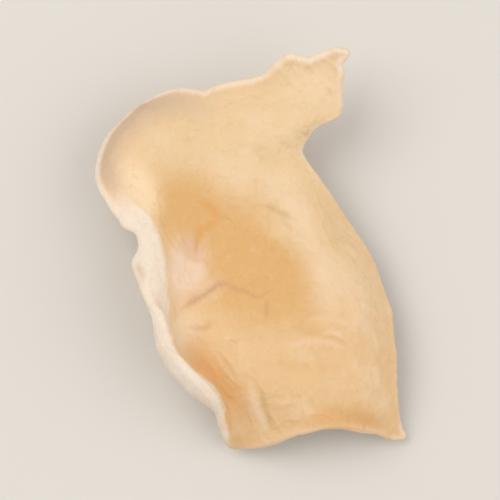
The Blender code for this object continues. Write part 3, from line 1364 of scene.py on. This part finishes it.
@dataclass(frozen=True)
class DriedFlesh:
    """The finish of the flesh: waxy inside, chalky and felted outside, pale at the rim."""

    upper: Colour = srgb(238, 207, 163)
    lower: Colour = srgb(235, 198, 149)
    light: Colour = srgb(244, 216, 180)
    bright: Colour = srgb(254, 226, 188)
    honey: Colour = srgb(227, 181, 118)
    amber: Colour = srgb(227, 171, 102)
    vein: Colour = srgb(205, 152, 118)
    olive: Colour = srgb(206, 172, 112)
    pale: Colour = srgb(247, 226, 200)
    rose: Colour = srgb(246, 220, 197)
    rose_white: Colour = srgb(250, 232, 214)
    grey_white: Colour = srgb(213, 185, 156)
    tan: Colour = srgb(223, 185, 130)
    felt: Colour = srgb(255, 240, 224)
    powder: Colour = srgb(236, 208, 176)
    # Tone of the painted shade in the outer hollows, also of the darker ring round the stalk
    groove: Colour = srgb(205, 165, 122)
    cut: Colour = srgb(158, 112, 72)
    # The wax: how rough it is, and how much rougher the felt; how the light sinks in
    waxiness: Mottle = Mottle(1.4, base=0.38, share=0.2)
    felt_roughness: float = 0.28
    glow: float = 0.28
    glow_depth: float = 0.8 * MM
    glow_radii: Triple = (1.0, 0.5, 0.25)
    gloss: float = 0.35
    # Plain tones: between which heights in the picture they change, and their clouds
    slope: Span = (-8 * MM, 6 * MM)
    light_clouds: Mottle = Mottle(5.0, 2.0, shift=0.01, edge=(0.42, 0.72), share=0.55)
    mottling: Mottle = Mottle(2.4, 4.0, 0.6, shift=0.02, base=0.72, share=0.55)
    least_mottling: float = 0.3
    pale_flecks: Mottle = Mottle(1.3, 4.0, 0.6, shift=0.06, edge=(0.52, 0.8), share=0.22)
    tan_flecks: Mottle = Mottle(1.3, 4.0, 0.6, shift=0.06, edge=(0.46, 0.3), share=0.25)
    # Soft places of the smooth side; the patches are named after their colours
    # The honey-coloured hollow: its own honey colour, deepened by painted shade of the bowl
    hollow: tuple[Oval, Oval] = (
        Oval((1.1, -7.3), (20.0, 10.1), -42, full=0.75),
        Oval((-6.0, -0.2), (9.4, 8.0), -20, full=1.0))
    hollow_share: float = 0.95
    amber_cores: tuple[Oval, Oval] = (
        Oval((-4.8, -1.6), (5.0, 3.8), -30, 0.20), Oval((4.0, -8.2), (7.0, 4.4), -50, 0.22))
    faded: tuple[Oval, Oval] = (
        Oval((-6.1, -7.9), (4.9, 6.5), -12, 1.2, full=1.0),
        Oval((-3.9, -10.2), (3.8, 2.8), 15, 0.55))
    faded_share: float = 0.8
    patches: tuple[tuple[str, Oval], ...] = (
        ("vein", Oval((-5.2, -5.5), (3.0, 2.1), -25, 0.3)),
        ("upper", Oval((6.6, -3.8), (5.0, 2.2), -32, 0.8)),
        ("light", Oval((10.5, 15.0), (8.0, 7.0), 0, 0.7)),
        ("light", Oval((11.6, -8.0), (4.0, 9.0), 12, 0.5)),
        ("light", Oval((15.8, -10.4), (3.6, 8.0), 12, 0.7)),
        # Painted highlight on the left shoulder, which bulges towards the light
        ("bright", Oval((-12.3, 0.9), (4.8, 7.2), 12, 0.95, full=0.85)),
        # Painted light beside the lip's foot, lifting the shade that the lip casts there
        ("pale", Oval((-6.9, -16.2), (3.2, 4.6), 0, 0.65)),
        ("tan", Oval((2.6, -28.4), (6.5, 4.5), 0, 0.45)))
    # Painted sheen and shade on the upper left lobe, greyer towards the margin where the sheet
    # turns down from the light
    painted_sheen_lobe: Oval = Oval((-15.0, 10.0), (17.0, 14.0), full=0.7)
    painted_sheen_edge: Span = (4.8, 1.0)
    # The white of the rim, partly its own paleness and partly a painted highlight along the edge,
    # which grows with the height, and where it is broad, strong or faint
    rim_width: Span = (0.75, 0.1)
    rim_slope: Span = (2 * MM, 14 * MM)
    rim_least: float = 0.22
    rim_growth: float = 0.6
    rim_flecks: Mottle = Mottle(0.6, base=0.55, share=0.8)
    broad_rim: Oval = Oval((-14.0, -1.0), (8.0, 18.0), full=0.5)
    broad_by: float = 0.25
    broad_share: float = 0.85
    # Painted highlight on the pointed lower right corner
    painted_tip_highlight: Oval = Oval((21.2, -28.6), (3.0, 3.0), 0, 0.6, full=0.5)
    faint_rim: Oval = Oval((14.4, 12.6), (4.0, 5.4), 0, 0.7, full=0.4)
    # Felt: the second number of a pair is how much weaker it is on the band on the left
    side_edge: Span = (0.1, 0.9)
    band_share: float = 0.9
    powdering: Mottle = Mottle(0.5, 4.0, 0.65, shift=0.03, edge=(0.45, 0.7))
    powder_shares: tuple[float, float] = (0.5, 0.3)
    blotches: Mottle = Mottle(0.9, shift=0.09, edge=(0.3, 0.7))
    blotch_zone: Span = (0.5, 1.2)
    blotch_shares: tuple[float, float] = (0.3, 0.2)
    # How strong the painted shade in the outer side's hollows is
    hollows_share: float = 0.75
    # Darker towards the stalk, brown streaks up the stalk and brown at its cut
    halo: Span = (7.5, 2.0)
    halo_clouds: Mottle = Mottle(1.5, shift=0.08, base=0.3, share=0.9)
    halo_share: float = 0.5
    stalk_radius: Span = (3.6, 3.0)
    streaks: Mottle = Mottle(0.5, stretch=(1, 1, 5), edge=(0.45, 0.65), share=0.4)
    streak_height: Span = (2.2 * MM, 0.1 * MM)
    cut_stain: Mottle = Mottle(0.5, base=0.55, share=0.5)
    cut_height: Span = (0.35 * MM, 0.02 * MM)
    # The fine relief: wax with fine pores and gathered creases, and felt
    wax: Mottle = Mottle(1.0, 4.0, 0.55, 0.6, share=1.1)
    pores: Mottle = Mottle(0.16, 2.0, share=0.12)
    creases: Mottle = Mottle(3.0, 2.0, 0.5, 0.6, shift=0.05, base=-0.5)
    crease_breadth: float = 0.07
    gathered: Mottle = Mottle(4.0, 1.0, shift=0.07, edge=(0.42, 0.62), share=0.3)
    fibres: Mottle = Mottle(0.22, 3.0, 0.7, shift=0.04, share=1.1)
    relief: float = 0.16 * MM
    relief_strength: float = 0.8

    def material(self) -> bpy.types.Material:
        """Makes the material.

        Returns:
            The material of the whole ear.
        """
        desk = ShaderDesk("dried_flesh")
        band = desk.attribute("band_share")
        outer = desk.either(desk.attribute("outer_share").ramp(*self.side_edge),
                            band * self.band_share)
        tone = self.inside(desk).under(
            (self.outside(desk, band), outer),
            (self.olive, desk.attribute("olive_share") * band * self.band_share),
            (self.rose_white, self.rim(desk)))
        return desk.finished({
            "Base Color": tone,
            "Roughness": desk.clouds(self.waxiness) + self.felt_roughness * outer,
            "Normal": self.grain(desk, outer),
            "Subsurface Weight": self.glow,
            "Subsurface Radius": self.glow_radii,
            "Subsurface Scale": self.glow_depth,
            "Specular IOR Level": self.gloss,
        })

    def rim(self, desk: ShaderDesk) -> Signal:
        """How white the rim is: most on the tab and the left, hardly at the lower margin.

        Args:
            desk: The material's desk.

        Returns:
            A number from 0 to 1.
        """
        # The rim's white is partly its own paleness and partly a painted highlight along the edge
        broad = desk.spot(self.broad_rim)
        near = (desk.attribute("to_margin") - self.broad_by * broad).ramp(*self.rim_width)
        strength = self.rim_least + self.rim_growth * desk.up().ramp(*self.rim_slope)
        strength = desk.either(strength, broad * self.broad_share)
        # Painted highlight on the lower right corner
        strength = desk.either(strength, desk.spot(self.painted_tip_highlight))
        strength = strength * (1 - desk.spot(self.faint_rim))
        return near * strength * desk.clouds(self.rim_flecks).capped()

    def inside(self, desk: ShaderDesk) -> Tone:
        """The colour of the smooth side.

        Args:
            desk: The material's desk.

        Returns:
            Cream, honey-coloured in the hollow, with veins and stains.
        """
        mottled = desk.clouds(self.mottling)
        hollow = desk.either(*map(desk.spot, self.hollow)) * mottled
        faded = desk.either(*map(desk.spot, self.faded)) * at_least(self.least_mottling, mottled)
        edge = desk.attribute("to_margin").ramp(*self.painted_sheen_edge)
        return Tone(desk, self.lower).under(
            (self.upper, desk.up().ramp(*self.slope)),
            (self.light, desk.clouds(self.light_clouds)),
            # Honey colour of the hollow, partly painted shade of the bowl
            (self.honey, hollow.capped() * self.hollow_share),
            *((self.amber, desk.spot(core) * mottled) for core in self.amber_cores),
            (self.rose, faded.capped() * self.faded_share),
            *((getattr(self, colour), desk.spot(oval)) for colour, oval in self.patches),
            (self.pale, desk.clouds(self.pale_flecks)),
            (self.tan, desk.clouds(self.tan_flecks)),
            *((getattr(self, tint.value), desk.attribute(tint.value + "_share"))
              for tint in (Tint.PALE, Tint.OLIVE, Tint.AMBER, Tint.VEIN)),
            # Painted sheen and shade on the upper left lobe
            (self.grey_white, edge * desk.spot(self.painted_sheen_lobe)))

    def outside(self, desk: ShaderDesk, band: Signal) -> Tone:
        """The colour of the outer side and the stalk.

        Args:
            desk: The material's desk.
            band: 1 on the felted band along the left margin, 0 elsewhere.

        Returns:
            Chalky cream, painted shade between the wrinkles, and brown at the cut.
        """
        powder, less_powder = self.powder_shares
        blotched, less_blotched = self.blotch_shares
        within = desk.attribute("to_margin").ramp(*self.blotch_zone)
        radius = desk.attribute("from_stalk")
        stalk = radius.ramp(*self.stalk_radius)
        height = desk.parts(desk.place)[2]
        return Tone(desk, self.felt).under(
            (self.powder, desk.clouds(self.powdering) * (powder - less_powder * band)),
            (self.grey_white,
             within * (blotched - less_blotched * band) * desk.clouds(self.blotches)),
            # Painted shade in the hollows between wrinkles and between folds
            (self.groove, desk.attribute("hollows_share") * self.hollows_share),
            (self.groove,
             radius.ramp(*self.halo) * desk.clouds(self.halo_clouds) * self.halo_share),
            (self.cut, height.ramp(*self.streak_height) * stalk * desk.clouds(self.streaks)),
            (self.cut, height.ramp(*self.cut_height) * stalk * desk.clouds(self.cut_stain)))

    def grain(self, desk: ShaderDesk, outer: Signal) -> Socket:
        """The fine relief: faint waxy wrinkles inside, felt outside.

        Args:
            desk: The material's desk.
            outer: 1 on the outer side, 0 on the smooth side.

        Returns:
            The bent normal.
        """
        creases = desk.maths("ABSOLUTE", desk.clouds(self.creases), 0.0)
        wax = (desk.clouds(self.wax) + desk.clouds(self.pores)
               + creases.ramp(0.0, self.crease_breadth) * desk.clouds(self.gathered))
        height = wax * (1 - outer) + desk.clouds(self.fibres) * outer
        bump = desk.node("ShaderNodeBump", {}, {
            "Strength": self.relief_strength, "Distance": self.relief, "Height": height})
        return bump.outputs[0]


@dataclass(frozen=True)
class PaleBoard:
    """The finish of the plain pale floor."""

    colour: Colour = srgb(226, 223, 218)
    roughness: float = 0.9

    def material(self) -> bpy.types.Material:
        """Makes the floor's material."""
        return ShaderDesk("pale_floor").finished(
            {"Base Color": self.colour, "Roughness": self.roughness})


@dataclass(frozen=True)
class SoftBox:
    """One broad soft lamp that points at the ear: its place and size are in metres."""

    name: str
    place: Triple
    size: float
    power: float


@dataclass
class Studio:
    """The floor, the light and the camera.

    The floor and the clipping are measured in metres, the rest in millimetres. The middle is
    what the camera looks at, and the view height is how much of it the camera sees.
    """

    floor_size: float = 3.0
    floor_drop: float = 0.02
    room_colour: Colour = (1.0, 0.98, 0.95, 1.0)
    room_light: float = 0.53
    lamp_colour: Triple = (1.0, 0.96, 0.91)
    lamps: tuple[SoftBox, ...] = (
        SoftBox("key_light", (-0.34, 0.14, 0.60), 0.55, 2.25),
        SoftBox("fill_light", (0.50, -0.12, 0.50), 0.7, 1.6))
    middle: Triple = (1.8, -6.8, 6.0)
    view_height: float = 62.0
    lens: float = 250.0
    clip: Span = (0.01, 10.0)

    def build(self) -> None:
        """Sets the floor, the light and the camera."""
        self.floor()
        self.light()
        self.camera()

    def floor(self) -> None:
        """Lays the floor."""
        bpy.ops.object.select_all(action="DESELECT")
        bpy.ops.mesh.primitive_plane_add(
            size=self.floor_size, location=(0, 0, -self.floor_drop * MM))
        floor = bpy.context.object
        floor.name = "floor"
        floor.data.materials.append(PaleBoard().material())

    def light(self) -> None:
        """Fills the room with pale light and hangs the lamps."""
        world = bpy.data.worlds.new("studio")
        bpy.context.scene.world = world
        world.use_nodes = True
        backdrop = world.node_tree.nodes["Background"]
        backdrop.inputs["Color"].default_value = self.room_colour
        backdrop.inputs["Strength"].default_value = self.room_light
        for box in self.lamps:
            lamp = bpy.data.lights.new(box.name, "AREA")
            lamp.size = box.size
            lamp.energy = box.power
            lamp.color = self.lamp_colour
            towards_ear = (-Vector(box.place)).to_track_quat("-Z", "Y").to_euler()
            self.place(lamp, Vector(box.place), towards_ear)

    def camera(self) -> None:
        """Looks down at the ear from the photograph's angle."""
        camera = bpy.data.cameras.new("camera")
        camera.lens = self.lens
        camera.clip_start, camera.clip_end = self.clip
        distance = self.view_height * MM * self.lens / camera.sensor_width
        back = Vector((0, -math.cos(LINE_OF_SIGHT), math.sin(LINE_OF_SIGHT)))
        bpy.context.scene.camera = self.place(camera, Vector(self.middle) * MM + back * distance,
                                              (math.pi / 2 - LINE_OF_SIGHT, 0, 0))
        bpy.context.scene.view_settings.view_transform = "Standard"

    def place(self, data: bpy.types.ID, location: Vector,
              rotation: Sequence[float]) -> Piece:
        """Puts a lamp or a camera into the scene.

        Args:
            data: The lamp or camera.
            location: Where it is, in metres.
            rotation: How it is turned, round x, y and z.

        Returns:
            The object that holds it.
        """
        holder = bpy.data.objects.new(data.name, data)
        holder.location = location
        holder.rotation_euler = rotation
        bpy.context.scene.collection.objects.link(holder)
        return holder


def main() -> None:
    """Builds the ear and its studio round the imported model."""
    logging.basicConfig(level=logging.INFO, format="%(asctime)s %(name)s: %(message)s")
    for obj in list(bpy.data.objects):
        bpy.data.objects.remove(obj)
    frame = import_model()
    Studio().build()

    flesh = Ear()
    ear = flesh.build(frame["nodes"][CAD_NODE])
    flesh.dress(ear, DriedFlesh().material())
    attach(ear, "root")
    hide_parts(CAD_NODE)
    LOG.info("%s: %d faces", ear.name, len(ear.data.polygons))


if __name__ == "__main__":
    main()
